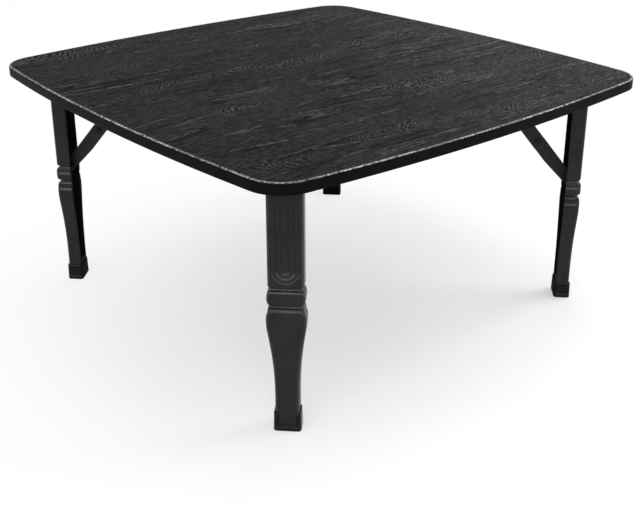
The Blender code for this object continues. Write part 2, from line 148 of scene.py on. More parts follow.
# Leg heights, above the floor, and widths
BLOCK_FOOT = UNDERSIDE - 119.5 * MM
TAPER_TOP = UNDERSIDE - 160.5 * MM
WAIST_HEIGHT = 40.0 * MM
SHOULDER_WIDTH = 41.3 * MM
WAIST_WIDTH = 25.5 * MM
TAPER_FULLNESS = 0.575
TAPER_SHOULDER = 0.13
BLOCK_RECESS = 0.9 * MM
SHAFT_RECESS = 2.2 * MM
BLOCK_FACE = LEG_FACE - BLOCK_RECESS
SHAFT_FACE = LEG_FACE - SHAFT_RECESS
LEG_WALL = 3.4 * MM
FRONT_WALL = 2.4 * MM
CAVITY_HALF = 14.8 * MM
CAVITY_DEPTH = 11.4 * MM
CAVITY_FOOT = 27.0 * MM
LEDGE = 0.15 * MM  # height over which the open back steps
STAY_BOSS = 10.0 * MM
BOSS_FACE = 2.6 * MM  # from the middle of the leg
SIDE_SHARES = (0.0, 0.04, 0.3, 0.6, 0.9)

# Front moulding: top, deepest place, fillet's end and foot of both grooves, down from the block's foot
UPPER_PARTS = (0.0 * MM, 2.0 * MM, 4.0 * MM, 7.0 * MM)
LOWER_PARTS = (19.9 * MM, 21.4 * MM, 23.8 * MM, 28.0 * MM)
MOULDING_DEPTH = 3.9 * MM
FILLET_RISE = 1.5 * MM  # how far the fillet in the groove slopes out again
CREASE_DEPTH = 0.9 * MM
CREASE_HALF = 0.35 * MM
FACE_EDGE = 3.2 * MM  # rounded edge between the front and the sides
MEMBER_ROUND = 4.6 * MM  # rounded ends of the block, bead and shoulder, seen from the front
CARVING_EDGE = 1.1 * MM  # slope from the outer carved groove up to the face
CARVING_END = 1.0 * MM  # height over which the carving stops
REED_ROUNDNESS = 0.85
OUTER_GROOVE_LOSS = 0.4

# Side moulding in millimetres: distance down from the block's foot, and half width without the bead
SIDE_PROFILE = ((0.0, 18.4), (0.9, 18.1), (1.6, 17.2), (1.8, 16.4), (2.6, 16.4), (4.0, 17.6), (4.5, 16.9),
                (21.0, 16.9), (21.8, 16.3), (22.8, 16.3), (25.0, 18.5), (31.5, 19.5), (33.3, 20.5),
                (36.5, 20.65))
BEAD_SPAN = (4.5 * MM, 21.0 * MM)
BEAD_RISE = 2.9 * MM

# Painted highlight lines along ridges, with a little polish from handling; on the sides distance down, width
# (both in millimetres) and weight
SIDE_LINES = ((4.0, 0.6, 1.0), (11.0, 1.2, 0.75), (25.0, 0.7, 1.0), (33.2, 0.8, 1.0))
FILLET_LINE = 0.6 * MM
FILLET_SHARE = 0.7  # place of the line between the groove's deepest place and its fillet
MEMBER_LINE = 0.7 * MM
MEMBER_INSET = 1.2 * MM
MEMBER_WEIGHT = 0.6
CORNER_WEIGHT = 0.2
ARCH_WEIGHT = 0.5
ARCH_FADE = 5.0 * MM
FOOT_LINE = 0.8 * MM
FOOT_WEIGHT = 0.3

# Foot
FOOT_FLARE = 0.5 * MM
FOOT_EDGE = 3.2 * MM
FOOT_RIM = 0.5 * MM
FOOT_SOLE = 3.0 * MM
SOLE_ROUND = 1.2 * MM
SOLE_SUPPORT = 0.5 * MM  # a ring this far above the sole's round
SOCKET_PLAY = 0.3 * MM
WINDOW_SLOPE = 0.7 * MM
WINDOW_FLOOR = SHAFT_FACE - 0.4 * MM
SAME_PLACE = 0.1 * MM  # points nearer than this to a face count as lying on it

# Stay and pins
STAY_SHEET = 2.0 * MM
SHEET_GAP = 0.3 * MM
LINK_FACE = SHEET_GAP + STAY_SHEET  # from the middle of the leg
EAR_SHEET = 1.5 * MM
STAY_RUN = (STAY_HEAD - STAY_FOOT) / np.linalg.norm(STAY_HEAD - STAY_FOOT)
RIB_START = 15.0 * MM  # from the leg pin
RIB_END = 49.0 * MM
RIB_WIDTH = 2.4 * MM
RIB_HEIGHT = 0.3 * MM
RIB_END_SWELL = 0.015
LEG_PIN_DIAMETER = 5.0 * MM
STAY_PIN_DIAMETER = 4.0 * MM
PIN_CHAMFER = 0.35 * MM
RIVET_HEAD = 7.6 * MM
RIVET_HEIGHT = 1.3 * MM
RIVET_RIM = 0.2  # share of the head's height that stands upright

# Rail screws
SCREW_HEAD = 7.0 * MM
SCREW_HEIGHT = 1.7 * MM
SCREW_FLATNESS = 0.8
SCREW_SEAT = RAIL_FOOT - 0.02 * MM
SCREW_SPACING = 15.0 * MM
SCREW_INSETS = (27.0 * MM, 79.0 * MM)
RECESS_SLOT = 0.55 * MM
RECESS_REACH = 1.9 * MM
RECESS_DEPTH = 0.9 * MM
RECESS_SLOPE = 0.25 * MM
RECESS_END = 0.5 * MM

# Mirror strength of the finishes
BAND_GLOSS = 0.03
LEG_GLOSS = 0.19
FOOT_GLOSS = 0.12
COAT_GLOSS = 0.25
FILM_GLOSS = 0.15

# Stage; each soft light has a place, two sides and a power
FLOOR_REACH = 30.0
FLOOR_HEIGHT = CAD_BOX[0][2] - 0.2 * MM
CAMERA_PLACE = (-0.7856, -0.9351, 0.6304)
CAMERA_YAW = math.radians(40.35)
CAMERA_PITCH = math.radians(21.29)
CAMERA_LENS = 56.65
CAMERA_SHIFT = -0.12
SHADOW_MIDDLE = (0.10, -0.25, 0.0)
SHADOW_RANGE = (0.12, 0.87)
FAR_GLOW = 0.97
WHITE = (1.0, 1.0, 1.0, 1.0)
FILL_STRENGTH = 0.42
OVERHEAD_POWER = 0.65
OVERHEAD_SPREAD = math.radians(110)
OVERHEAD_TILT = (math.radians(-8), math.radians(8), 0.0)
SOFTBOXES = {
    "ceiling_softbox": ((0.25, 0.1, 2.3), (1.1, 1.1), 10.0),
    "front_softbox": ((-1.6, -1.2, 1.5), (2.4, 0.5), 20.0),
    "right_softbox": ((1.3, -0.7, 1.25), (1.0, 1.0), 15.0),
    "back_softbox": ((1.9, 1.0, 0.85), (1.0, 0.6), 7.0),
    "left_softbox": ((-1.9, 0.6, 0.9), (0.4, 1.0), 2.0),
}


# Arrays of points

def ease(x):
    """Smooth step: 3t^2 - 2t^3 with t the value held between 0 and 1."""
    t = np.clip(x, 0.0, 1.0)
    return t * t * (3.0 - 2.0 * t)


def quarter(x):
    """Quarter wave: the sine of t quarter turns with t held between 0 and 1."""
    return np.sin(np.clip(x, 0.0, 1.0) * np.pi / 2)


def bell(distance, width):
    """Bell curve: e to the power of minus the square of distance over width."""
    return np.exp(-(distance / width) ** 2)


def arc(centre, radius, start, end, count):
    """Points on a circle about a centre, from one angle in degrees to another."""
    turn = np.radians(np.linspace(start, end, count))
    return np.stack([centre[0] + radius * np.cos(turn), centre[1] + radius * np.sin(turn)], -1)


def skin(rings, looped=False):
    """A closed skin through rings of points that each close round on themselves.

    The last ring joins the first, or else both have a flat cap. The faces are turned round if the volume,
    as the sum over fans of triangles of a . (b x c) / 6, comes out negative, so that they point outwards.
    """
    rows, columns = rings.shape[:2]
    points = rings.reshape(-1, 3)
    row, column = np.meshgrid(np.arange(rows if looped else rows - 1), np.arange(columns), indexing="ij")
    above, beside = (row + 1) % rows, (column + 1) % columns
    quads = np.stack([row * columns + column, row * columns + beside,
                      above * columns + beside, above * columns + column], -1)
    faces = quads.reshape(-1, 4).tolist()
    if not looped:
        faces += [list(range(columns))[::-1], list(range((rows - 1) * columns, rows * columns))]
    fans = np.array([(face[0], *pair) for face in faces for pair in zip(face[1:-1], face[2:])])
    a, b, c = points[fans.T]
    volume = np.sum(a * np.cross(b, c)) / 6.0
    return points, [face[::-1] for face in faces] if volume < 0 else faces


def joined(shapes):
    """Several skins as one list of points and faces."""
    points, faces, start = [], [], 0
    for shape_points, shape_faces in shapes:
        points.append(shape_points)
        faces += [[index + start for index in face] for face in shape_faces]
        start += len(shape_points)
    return np.concatenate(points), faces


def make_piece(name, shape, material, body, replaces=(), attributes=None):
    """A smooth-shaded piece at the origin that rides on a body and may stand for solids."""
    points, faces = shape
    mesh = bpy.data.meshes.new(name)
    mesh.from_pydata(points.tolist(), [], faces)
    for label, values in (attributes or {}).items():
        layer = mesh.attributes.new(label, "FLOAT", "POINT")
        layer.data.foreach_set("value", np.asarray(values, np.float32).ravel())
    mesh.shade_smooth()
    mesh.set_sharp_from_angle(angle=SHARP_ANGLE)
    mesh.materials.append(material)
    mesh.validate()
    piece = bpy.data.objects.new(name, mesh)
    bpy.context.scene.collection.objects.link(piece)
    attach(piece, body)
    if replaces:
        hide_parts(*replaces)


def make_at_corners(name, shape, material, carrier, replaced=None, attributes=None):
    """One piece at each corner, from a shape in a corner's own frame (out, across, up).

    The carrying body and the replaced solid are named without their corner. Without a carrier the
    piece rides on the top.
    """
    points, faces = shape
    for corner in CORNERS:
        make_piece(f"{name}_{corner}", (points @ corner_axes(corner), faces), material,
                   f"{carrier}_{corner}" if carrier else "root",
                   (f"{replaced}_{corner}",) if replaced else (), attributes)


def dress_node(node, material):
    """Give a solid that stays in view its finish."""
    slots = frame["nodes"][node].data.materials
    slots.clear()
    slots.append(material)


# Node trees

class Tree:
    """Short calls for adding and linking the nodes of one tree."""

    def __init__(self, tree):
        self.tree = tree

    def feed(self, socket, value):
        """Link a socket to another one, or set it to a plain value."""
        if isinstance(value, bpy.types.NodeSocket):
            self.tree.links.new(value, socket)
        else:
            socket.default_value = value

    def add(self, kind, values=(), **settings):
        """The outputs of a new node with its settings, its inputs fed by name or in their order."""
        node = self.tree.nodes.new(kind)
        for key, value in settings.items():
            setattr(node, key, value)
        for key, value in values.items() if isinstance(values, dict) else enumerate(values):
            self.feed(node.inputs[key], value)
        return node.outputs

    def math(self, operation, *values, clamp=False):
        return self.add("ShaderNodeMath", values, operation=operation, use_clamp=clamp)[0]

    def chain(self, operation, first, *others):
        """One operation over any number of values, from the first to the last."""
        for value in others:
            first = self.math(operation, first, value)
        return first

    def plus(self, *values):
        return self.chain("ADD", *values)

    def minus(self, first, second):
        return self.math("SUBTRACT", first, second)

    def times(self, *values):
        return self.chain("MULTIPLY", *values)

    def over(self, first, second):
        return self.math("DIVIDE", first, second)

    def most(self, *values):
        return self.chain("MAXIMUM", *values)

    def between(self, value, low, high, to_low=0.0, to_high=1.0):
        """The value carried smoothly from one range to another, held at its ends."""
        return self.add("ShaderNodeMapRange", (value, low, high, to_low, to_high),
                        interpolation_type="SMOOTHSTEP")[0]

    def stretched(self, vector, scale, turn=0.0):
        """Coordinates scaled by a factor on each axis after a turn about Z."""
        values = {"Vector": vector, "Scale": scale, "Rotation": (0.0, 0.0, turn)}
        return self.add("ShaderNodeMapping", values)[0]

    def noise(self, vector, scale=1.0, detail=2.0, roughness=0.5, distortion=0.0):
        values = {"Vector": vector, "Scale": scale, "Detail": detail, "Roughness": roughness,
                  "Distortion": distortion}
        return self.add("ShaderNodeTexNoise", values)["Fac"]

    def mix(self, share, first, second):
        values = {"Factor": share, "A": first, "B": second}
        return self.add("ShaderNodeMix", values, data_type="RGBA")["Result"]

    def attribute(self, name):
        return self.add("ShaderNodeAttribute", attribute_name=name)["Fac"]

    def group(self, name, maker, **values):
        """The outputs of a shared group, which its maker builds when it is first placed."""
        tree = bpy.data.node_groups.get(name) or maker(name)
        values = {key.replace("_", " "): value for key, value in values.items()}
        return self.add("ShaderNodeGroup", values, node_tree=tree)

    def seen(self):
        """1 for rays of the lens, of mirrors and through clear matter, and 0 for the others."""
        rays = self.add("ShaderNodeLightPath")
        straight = self.plus(rays["Is Camera Ray"], rays["Is Glossy Ray"])
        return self.math("ADD", straight, rays["Is Transmission Ray"], clamp=True)


def rgba(colour, factor=1.0):
    """A colour times a factor, with full alpha."""
    return (*(factor * part for part in colour), 1.0)


def new_group(name, outputs, **inputs):
    """An empty shader node group, its inputs given with their defaults, and its two end nodes."""
    tree = bpy.data.node_groups.new(name, "ShaderNodeTree")
    for key, default in inputs.items():
        kind = "NodeSocketVector" if default is None else "NodeSocketFloat"
        socket = tree.interface.new_socket(key.replace("_", " "), in_out="INPUT", socket_type=kind)
        if default is not None:
            socket.default_value = default
    for label in outputs:
        tree.interface.new_socket(label, in_out="OUTPUT", socket_type="NodeSocketFloat")
    build = Tree(tree)
    return build, build.add("NodeGroupInput"), tree.nodes.new("NodeGroupOutput").inputs


def growth_rings(build, grain, count, ragged):
    """Dark lines that start sharply at each ring's edge and fade, and pale lines before the edge.

    Rings are the level lines of a field that is long along the grain, so they close into arches and
    eyes. Fainter lines lie between them, three to a ring.
    """
    field = grain(1.3, 15.0, detail=3.0, distortion=0.25)
    level = build.plus(build.times(field, count), build.times(ragged, 0.35))
    ring = build.math("FRACT", level)
    late = build.math("FRACT", build.times(level, 3.0))
    shown = build.between(grain(5.0, 26.0, detail=3.0), 0.34, 0.56)
    dark = build.most(build.between(ring, 0.24, 0.0), build.times(build.between(late, 0.4, 0.0), 0.5))
    return build.times(dark, shown), build.times(build.between(ring, 0.86, 0.98), shown)


def chevron_flecks(build, grain, given, ragged):
    """Pale flecks in patches along wandering strips, and the dark strokes between them.

    They are the crests and troughs of a sine of X less a share of the distance to the strip's middle.
    So they meet there in chevrons, with one arm steeper than the other.
    """
    place = build.add("ShaderNodeSeparateXYZ", (given["Vector"],))
    width, pitch = given["Strip Width"], given["Fleck Pitch"]
    drift = build.times(grain(3.2, 3.0), 2.2)
    strip = build.minus(build.plus(build.over(place["Y"], width), drift), 0.79)
    side = build.minus(build.math("FRACT", strip), 0.5)
    offset = build.math("ABSOLUTE", side)
    arms = build.plus(build.times(offset, 0.75), build.times(side, 0.45))
    straight = build.minus(build.over(place["X"], pitch), build.times(arms, build.over(width, pitch)))
    phase = build.plus(straight, build.times(grain(30.0, 60.0, detail=3.0), 4.2), build.times(ragged, 0.9))
    hatch = build.math("SINE", build.times(phase, math.tau))
    patch = build.between(grain(4.5, 12.0, detail=3.0, roughness=0.6), 0.43, 0.55)
    broken = build.between(grain(42.0, 90.0), 0.34, 0.5)
    shown = build.times(patch, build.between(offset, 0.18, 0.05), broken)
    flecks, strokes = build.between(hatch, 0.2, 0.9), build.between(hatch, 0.0, -0.8)
    return build.times(flecks, shown), build.times(strokes, shown)


def oak_figure_group(name):
    """Flat-sawn oak along X: fibres and streaks drawn out along the grain, growth rings and flecks."""
    build, given, result = new_group(name, ("Fibres", "Streaks", "Dark Lines", "Pale Lines", "Flecks"),
                                     Vector=None, Rings=8.0, Fleck_Pitch=0.0075, Strip_Width=0.13)

    def grain(along, across, **settings):
        return build.noise(build.stretched(given["Vector"], (along, across, 1.0)), **settings)

    fibres = grain(110.0, 420.0, detail=3.0, roughness=0.6)
    ragged = build.minus(fibres, 0.5)
    rings, edges = growth_rings(build, grain, given["Rings"], ragged)
    flecks, strokes = chevron_flecks(build, grain, given, ragged)
    streaks = grain(6.5, 90.0, detail=4.0, roughness=0.62, distortion=0.2)
    streaks = build.plus(streaks, build.times(ragged, 0.3))
    build.feed(result["Fibres"], build.between(fibres, 0.34, 0.66))
    build.feed(result["Streaks"], build.between(streaks, 0.56, 0.68))
    build.feed(result["Dark Lines"], build.most(rings, strokes))
    build.feed(result["Pale Lines"], build.times(edges, build.between(fibres, 0.38, 0.6)))
    build.feed(result["Flecks"], flecks)
    return build.tree


def mottle_group(name):
    """Fine and broad unevenness of a moulded, painted or pressed surface, each from 0 to 1."""
    build, given, result = new_group(name, ("Fine", "Broad"), Vector=None, Fine_Scale=900.0, Broad_Scale=35.0)
    build.feed(result["Fine"], build.noise(given["Vector"], given["Fine Scale"], 2.0, 0.55))
    broad = build.noise(given["Vector"], given["Broad Scale"], 4.0, 0.6)
    build.feed(result["Broad"], build.between(broad, 0.3, 0.7))
    return build.tree


def scuff_group(name):
    """Sparse hairline scuffs: the thin crests of two long noise fields that cross each other."""
    build, given, result = new_group(name, ("Mask",), Vector=None, Density=0.5)
    crests = []
    for turn in (0.35, -0.9):
        hair = build.noise(build.stretched(given["Vector"], (14.0, 420.0, 120.0), turn), detail=1.0)
        crests.append(build.between(build.math("ABSOLUTE", build.minus(hair, 0.5)), 0.012, 0.0))
    patch = build.between(build.noise(given["Vector"], 30.0), 0.62, 0.75, 0.0, given["Density"])
    build.feed(result["Mask"], build.times(build.most(*crests), patch))
    return build.tree


def trimmed_rim_group(name):
    """Where a trimmed rim shows its pale core: the rim's share, broken up by fine grains."""
    build, given, result = new_group(name, ("Mask",), Vector=None, Trim=0.0, First_Grain=0.4)
    grains = build.between(build.noise(given["Vector"], 330.0, 4.0, 0.75), given["First Grain"], 0.62)
    build.feed(result["Mask"], build.times(given["Trim"], grains))
    return build.tree


def edge_highlight_group(name):
    """Painted highlight along an edge, where it also stands for a little polish from handling: the edge's
    share, uneven along its run.
    """
    build, given, result = new_group(name, ("Mask",), Edge=0.0, Broad=0.5)
    build.feed(result["Mask"], build.times(given["Edge"], build.between(given["Broad"], 0.0, 1.0, 0.45, 1.0)))
    return build.tree


class Finish(Tree):
    """The tree of a new material with one Principled shader and object coordinates."""

    def __init__(self, name, **plain):
        self.material = bpy.data.materials.new(name)
        self.material.use_nodes = True
        super().__init__(self.material.node_tree)
        self.shader = self.tree.nodes["Principled BSDF"]
        self.place = self.add("ShaderNodeTexCoord")["Object"]
        for key, value in plain.items():
            self.shader.inputs[key.replace("_", " ")].default_value = value

    def mottle(self, **scales):
        """The fine and the broad unevenness at each place."""
        outputs = self.group("Surface Mottle", mottle_group, Vector=self.place, **scales)
        return outputs["Fine"], outputs["Broad"]

    def scuffs(self, density):
        return self.group("Hairline Scuffs", scuff_group, Vector=self.place, Density=density)["Mask"]

    def trimmed(self, first_grain):
        return self.group("Trimmed Rim", trimmed_rim_group, Vector=self.place, Trim=self.attribute("trim"),
                          First_Grain=first_grain)["Mask"]

    def dress(self, base, rough, height, strength, depth):
        """Feed the shader its colour, its roughness and a relief of some strength and depth."""
        relief = self.add("ShaderNodeBump", {"Strength": strength, "Distance": depth, "Height": height})
        self.feed(self.shader.inputs["Base Color"], base)
        self.feed(self.shader.inputs["Roughness"], rough)
        self.feed(self.shader.inputs["Normal"], relief[0])
        return self.material


def laminate_material(look):
    """Charcoal wood-grain laminate, pressed along the grain and rubbed pale along its edge."""
    build = Finish("charcoal_grain_laminate", Specular_IOR_Level=look.laminate_gloss)
    figure = build.group("Oak Figure", oak_figure_group, Vector=build.place)
    fine, broad = build.mottle(Fine_Scale=420.0, Broad_Scale=9.0)
    tone = build.plus(build.times(figure["Fibres"], 0.55), build.times(build.between(fine, 0.3, 0.7), 0.35),
                      build.times(broad, 0.10))
    dark = build.most(build.times(figure["Dark Lines"], 0.95), build.times(figure["Streaks"], 0.9))
    pale = build.most(build.times(figure["Pale Lines"], 0.75), build.times(figure["Flecks"], 0.55))
    base = build.mix(tone, rgba(look.laminate_mid, 0.2), rgba(look.laminate_mid, 1.8))
    base = build.mix(dark, base, rgba(look.laminate_dark))
    base = build.mix(pale, base, rgba(look.laminate_light))
    base = build.mix(build.trimmed(0.36), base, rgba(look.trim_colour, 0.55))
    height = build.minus(build.plus(build.times(figure["Fibres"], 0.6), pale), dark)
    return build.dress(base, build.between(tone, 0.2, 0.8, 0.62, 0.46), height, 0.5, 0.3 * MM)


def band_material(look):
    """Black edge band whose trimmed upper rim shows the pale core in a broken line."""
    build = Finish("black_edge_band", Specular_IOR_Level=BAND_GLOSS)
    fine, broad = build.mottle(Fine_Scale=600.0)
    stretch = build.between(build.noise(build.place, 14.0, 3.0), 0.36, 0.6, 0.4, 1.0)
    bare = build.times(build.trimmed(0.38), stretch)
    base = build.mix(broad, rgba(look.band_colour), rgba(look.band_colour, 2.2))
    base = build.mix(bare, base, rgba(look.trim_colour))
    height = build.minus(fine, build.times(bare, 0.8))
    return build.dress(base, build.between(fine, 0.2, 0.8, 0.42, 0.6), height, 0.25, 0.15 * MM)


def moulded_material(look, name, colour, gloss):
    """Satin black moulded plastic: spark texture, painted highlights along ridges, scuffs, and painted shade
    on the inner side, which is also matt.
    """
    build = Finish(name, Specular_IOR_Level=gloss)
    fine, broad = build.mottle(Fine_Scale=1500.0)
    edge, inner = build.attribute("edge"), build.attribute("inner")
    highlight_and_polish = build.group("Edge Highlight", edge_highlight_group, Edge=edge, Broad=broad)["Mask"]
    base = build.mix(broad, rgba(colour), rgba(colour, 1.5))
    # painted highlight: the ridge lines lightened towards grey; the same mask makes them a little less rough
    base = build.mix(build.times(highlight_and_polish, 0.7), base, rgba(look.highlight_and_scuff_colour))
    base = build.mix(build.times(build.scuffs(0.5), 0.2), base, rgba(look.highlight_and_scuff_colour))
    # painted shade: the inner side darkened to 0.3 of its colour, and made fully rough below
    base = build.mix(inner, base, rgba(colour, 0.3))
    rough = build.minus(build.between(broad, 0.0, 1.0, 0.27, 0.34), build.times(highlight_and_polish, 0.08))
    return build.dress(base, build.most(rough, inner), fine, 0.12, 0.06 * MM)


def painted_steel_material(look, name, colour, fine_scale):
    """Black powder coat on pressed steel, with scuffs down to grey at places."""
    build = Finish(name, Specular_IOR_Level=COAT_GLOSS)
    fine, broad = build.mottle(Fine_Scale=fine_scale)
    base = build.mix(broad, rgba(colour), rgba(colour, 1.7))
    base = build.mix(build.scuffs(0.9), base, rgba(look.scuff_colour))
    return build.dress(base, build.between(fine, 0.25, 0.75, 0.44, 0.60), fine, 0.3, 0.08 * MM)


def bare_steel_material(name, colour, roughness):
    """Turned or plated steel with a fine brushed unevenness."""
    build = Finish(name, Metallic=1.0)
    fine, broad = build.mottle(Fine_Scale=2500.0, Broad_Scale=300.0)
    base = build.mix(broad, rgba(colour), rgba(colour, 1.6))
    rough = build.between(fine, 0.2, 0.8, roughness, roughness + 0.15)
    return build.dress(base, rough, fine, 0.15, 0.04 * MM)


def backing_material(look):
    """Dark backing film on the board, with the pressed fibres showing faintly through it."""
    build = Finish("dark_backing_film", Specular_IOR_Level=FILM_GLOSS)
    fine, broad = build.mottle(Fine_Scale=700.0, Broad_Scale=18.0)
    fibres = build.noise(build.stretched(build.place, (160.0, 520.0, 160.0), 0.6), detail=3.0, distortion=1.2)
    fibres = build.between(fibres, 0.35, 0.7)
    base = build.mix(fibres, rgba(look.board_dark), rgba(look.board_light))
    base = build.mix(build.times(broad, 0.5), base, rgba(look.board_dark))
    return build.dress(base, build.between(fine, 0.2, 0.8, 0.62, 0.8), fibres, 0.2, 0.1 * MM)


def floor_material(look):
    """Pale floor: to the lens it glows, the more the further it lies from the table and its shadow."""
    build = Finish("pale_floor", Specular_IOR_Level=0.0, Roughness=0.9)
    tint = build.between(build.noise(build.place, 0.7), 0.3, 0.7)
    base = build.mix(tint, rgba(look.floor_colour), rgba(look.floor_colour, 0.985))
    build.feed(build.shader.inputs["Base Color"], base)
    reach = build.add("ShaderNodeVectorMath", (build.place, SHADOW_MIDDLE), operation="DISTANCE")["Value"]
    share = build.times(build.seen(), build.between(reach, *SHADOW_RANGE, look.floor_glow, FAR_GLOW))
    glow = build.add("ShaderNodeEmission", {"Color": WHITE})[0]
    blend = build.add("ShaderNodeMixShader", (share, build.shader.outputs[0], glow))[0]
    build.feed(build.tree.nodes["Material Output"].inputs["Surface"], blend)
    return build.material


# Top

def top_outline(bow_count, corner_count):
    """The top's edge and its outward normals: four shallow arcs joined by round corners.

    One side and one corner are worked out as complex numbers and turned by quarter turns.
    """
    half_turn = math.atan2(CORNER_CENTRE, CORNER_CENTRE + BOW_CENTRE)
    bow = np.exp(1j * np.linspace(-half_turn, half_turn, bow_count, endpoint=False))
    corner = np.exp(1j * np.linspace(half_turn, math.pi / 2 - half_turn, corner_count, endpoint=False))
    edge = np.concatenate([SIDE_BOW_RADIUS * bow - BOW_CENTRE,
                           CORNER_RADIUS * corner + CORNER_CENTRE * (1 + 1j)])
    turned = [np.concatenate([part * 1j ** turns for turns in range(4)])
              for part in (edge, np.concatenate([bow, corner]))]
    return [np.stack([part.real, part.imag], -1) for part in turned]


def round_the_top(profile, bow_count, corner_count):
    """Rings of points: each (inset, height) of a profile carried round the top's edge."""
    edge, normal = top_outline(bow_count, corner_count)
    flat = edge - normal * profile[:, None, :1]
    return np.concatenate([flat, np.broadcast_to(profile[:, None, 1:], (*flat.shape[:2], 1))], -1)


def sheet_surface():
    """The laminate: the outline drawn in by a rounded edge, then shrunk ring by ring to the middle.

    Trim is 1 on the rounded edge and falls to 0 over the rubbed strip beside it.
    """
    edge = arc((SHEET_EDGE + SHEET_ROUND, TABLE_TOP - SHEET_ROUND), SHEET_ROUND, 180, 90, 5)
    rims = np.concatenate([[(SHEET_EDGE, SHEET_FOOT)], edge, [(SHEET_EDGE + WORN_STRIP, TABLE_TOP)]])
    rings = round_the_top(rims, 28, 20)
    shrunk = [rings[-1] * (share, share, 1.0) for share in SHEET_RINGS]
    trim = np.zeros((len(rims) + len(shrunk), rings.shape[1]))
    trim[:len(rims) - 1] = 1.0
    return skin(np.concatenate([rings, shrunk])), {"trim": trim}


def band_surface():
    """The band's profile (inset, height) carried round the outline; trim is 1 on its cut rim."""
    lower = arc((BAND_LOWER_ROUND, UNDERSIDE + BAND_LOWER_ROUND), BAND_LOWER_ROUND, 270, 180, 6)
    share = np.linspace(0.0, 1.0, 7)
    belly = BAND_BELLY * np.sin(np.pi * share)
    rim = np.stack([BAND_CHAMFER * share - belly, TABLE_TOP - BAND_CHAMFER * (1 - share) + belly], -1)
    below = rim[:1] - ((0.0, RIM_SUPPORT),)
    inside = np.array(((BAND_THICKNESS, TABLE_TOP), (BAND_THICKNESS, UNDERSIDE)))
    profile = np.concatenate([lower, below, rim, inside])
    profile[:, 0] = np.maximum(profile[:, 0], 0.0)
    profile[:, 1] = np.minimum(profile[:, 1], TABLE_TOP)
    trim = np.concatenate([np.zeros(len(lower) + 1), ease(2.4 * share - 0.6), (1.0, 0.0)])
    rings = round_the_top(profile, 40, 28).swapaxes(0, 1)
    return skin(rings, looped=True), {"trim": np.tile(trim, len(rings))}


# Leg

def taper_share(z):
    """How narrow the leg is between its shoulder, 0, and its waist, 1.

    The taper is a cubic curve in height and width, read at the wanted heights.
    """
    u = np.linspace(0.0, 1.0, 80)
    span = TAPER_TOP - WAIST_HEIGHT
    pulls = WAIST_HEIGHT + span * np.array((0.0, TAPER_FULLNESS, 1.0 - TAPER_SHOULDER, 1.0))
    weights = np.stack([(1 - u) ** 3, 3 * u * (1 - u) ** 2, 3 * u * u * (1 - u), u ** 3])
    return np.interp(z, pulls @ weights, weights[0] + weights[1])


def leg_half_width(z):
    """Half the leg's width at a height: waist, taper, shoulder, bead and block.

    Above the taper it follows the straight lines of the side profile, with half an ellipse added for
    the bead.
    """
    narrow = taper_share(z)
    taper = (WAIST_WIDTH * narrow + SHOULDER_WIDTH * (1 - narrow)) / 2
    down = BLOCK_FOOT - z
    depths, halves = MM * np.array(SIDE_PROFILE).T
    start, end = BEAD_SPAN
    share = (2 * down - start - end) / (end - start)
    bead = BEAD_RISE * np.sqrt(np.clip(1.0 - share ** 2, 0.0, 1.0))
    return np.where(z < TAPER_TOP, taper, np.interp(down, depths, halves) + bead)


def leg_face(z):
    """The leg's front at a height: the shaft and the block lie behind the shoulder and the bead."""
    block = ease((z - BLOCK_FOOT) / UPPER_PARTS[2] + 1.0)
    return LEG_FACE - SHAFT_RECESS * taper_share(z) - BLOCK_RECESS * block


def groove_depth(z, top, deep, fillet, foot):
    """Depth of one moulded groove below the face, from its top down to its foot.

    It drops in a quarter ellipse under the member above, slopes out along a fillet, dips into a
    crease and rises in a quarter wave over the rounded edge of the member below.
    """
    low = MOULDING_DEPTH - FILLET_RISE
    drop = MOULDING_DEPTH * (1.0 - np.sqrt(np.clip(1.0 - ((top - z) / (top - deep)) ** 2, 0.0, 1.0)))
    slope = MOULDING_DEPTH - FILLET_RISE * np.clip((deep - z) / (deep - fillet), 0.0, 1.0)
    rise = low * (1.0 - quarter((fillet - z) / (fillet - foot)))
    crease = CREASE_DEPTH * bell(z - fillet, CREASE_HALF)
    depth = np.select([z > top, z > deep, z > fillet, z > foot], [0 * z, drop, slope, rise], 0.0)
    return depth + np.where((z < deep) & (z > foot), crease, 0.0)


def corner_lift(y, half):
    """How far a member's end lies back from its straight edge: a quarter circle at either side."""
    past = np.clip((np.abs(y) - (half - MEMBER_ROUND)) / MEMBER_ROUND, 0.0, 1.0)
    return MEMBER_ROUND * (1.0 - np.sqrt(1.0 - past ** 2))


def moulding_depth(z, lift):
    """Both grooves of the leg's front, over and under the bead, wider where the members' ends round off."""
    depth = 0.0
    for parts in (UPPER_PARTS, LOWER_PARTS):
        top, deep, fillet, foot = (BLOCK_FOOT - part for part in parts)
        depth = depth + groove_depth(z, top + lift, deep, fillet, foot - lift)
    return depth


def carving_depth(y, z, look):
    """Depth of the nested tongues carved in the block's face.

    A place's distance to the tongue's spine is its distance across, and below the spine's foot the
    distance to that foot. The first groove lies at the inner tongue's half width and the others at whole
    reed pitches from it, with round reeds between. The outer groove is shallower than the others.
    """
    reach = np.hypot(y, np.minimum(z - look.tongue_foot, 0.0))
    first, pitch = look.tongue_half, look.reed_pitch
    crest = np.where(reach < first, np.cos(np.pi * reach / first / 2),
                     np.abs(np.sin(np.pi * (reach - first) / pitch)))
    reeds = look.carving_depth * (1.0 - np.clip(crest, 0.0, 1.0) ** REED_ROUNDNESS)
    outer = first + (look.tongue_count - 1) * pitch
    reeds = reeds * (1.0 - OUTER_GROOVE_LOSS * ease(2 * (reach - outer) / pitch + 1.0))
    inside = ease((outer + CARVING_EDGE - reach) / CARVING_EDGE)
    return reeds * inside * ease((look.tongue_top - z) / CARVING_END)


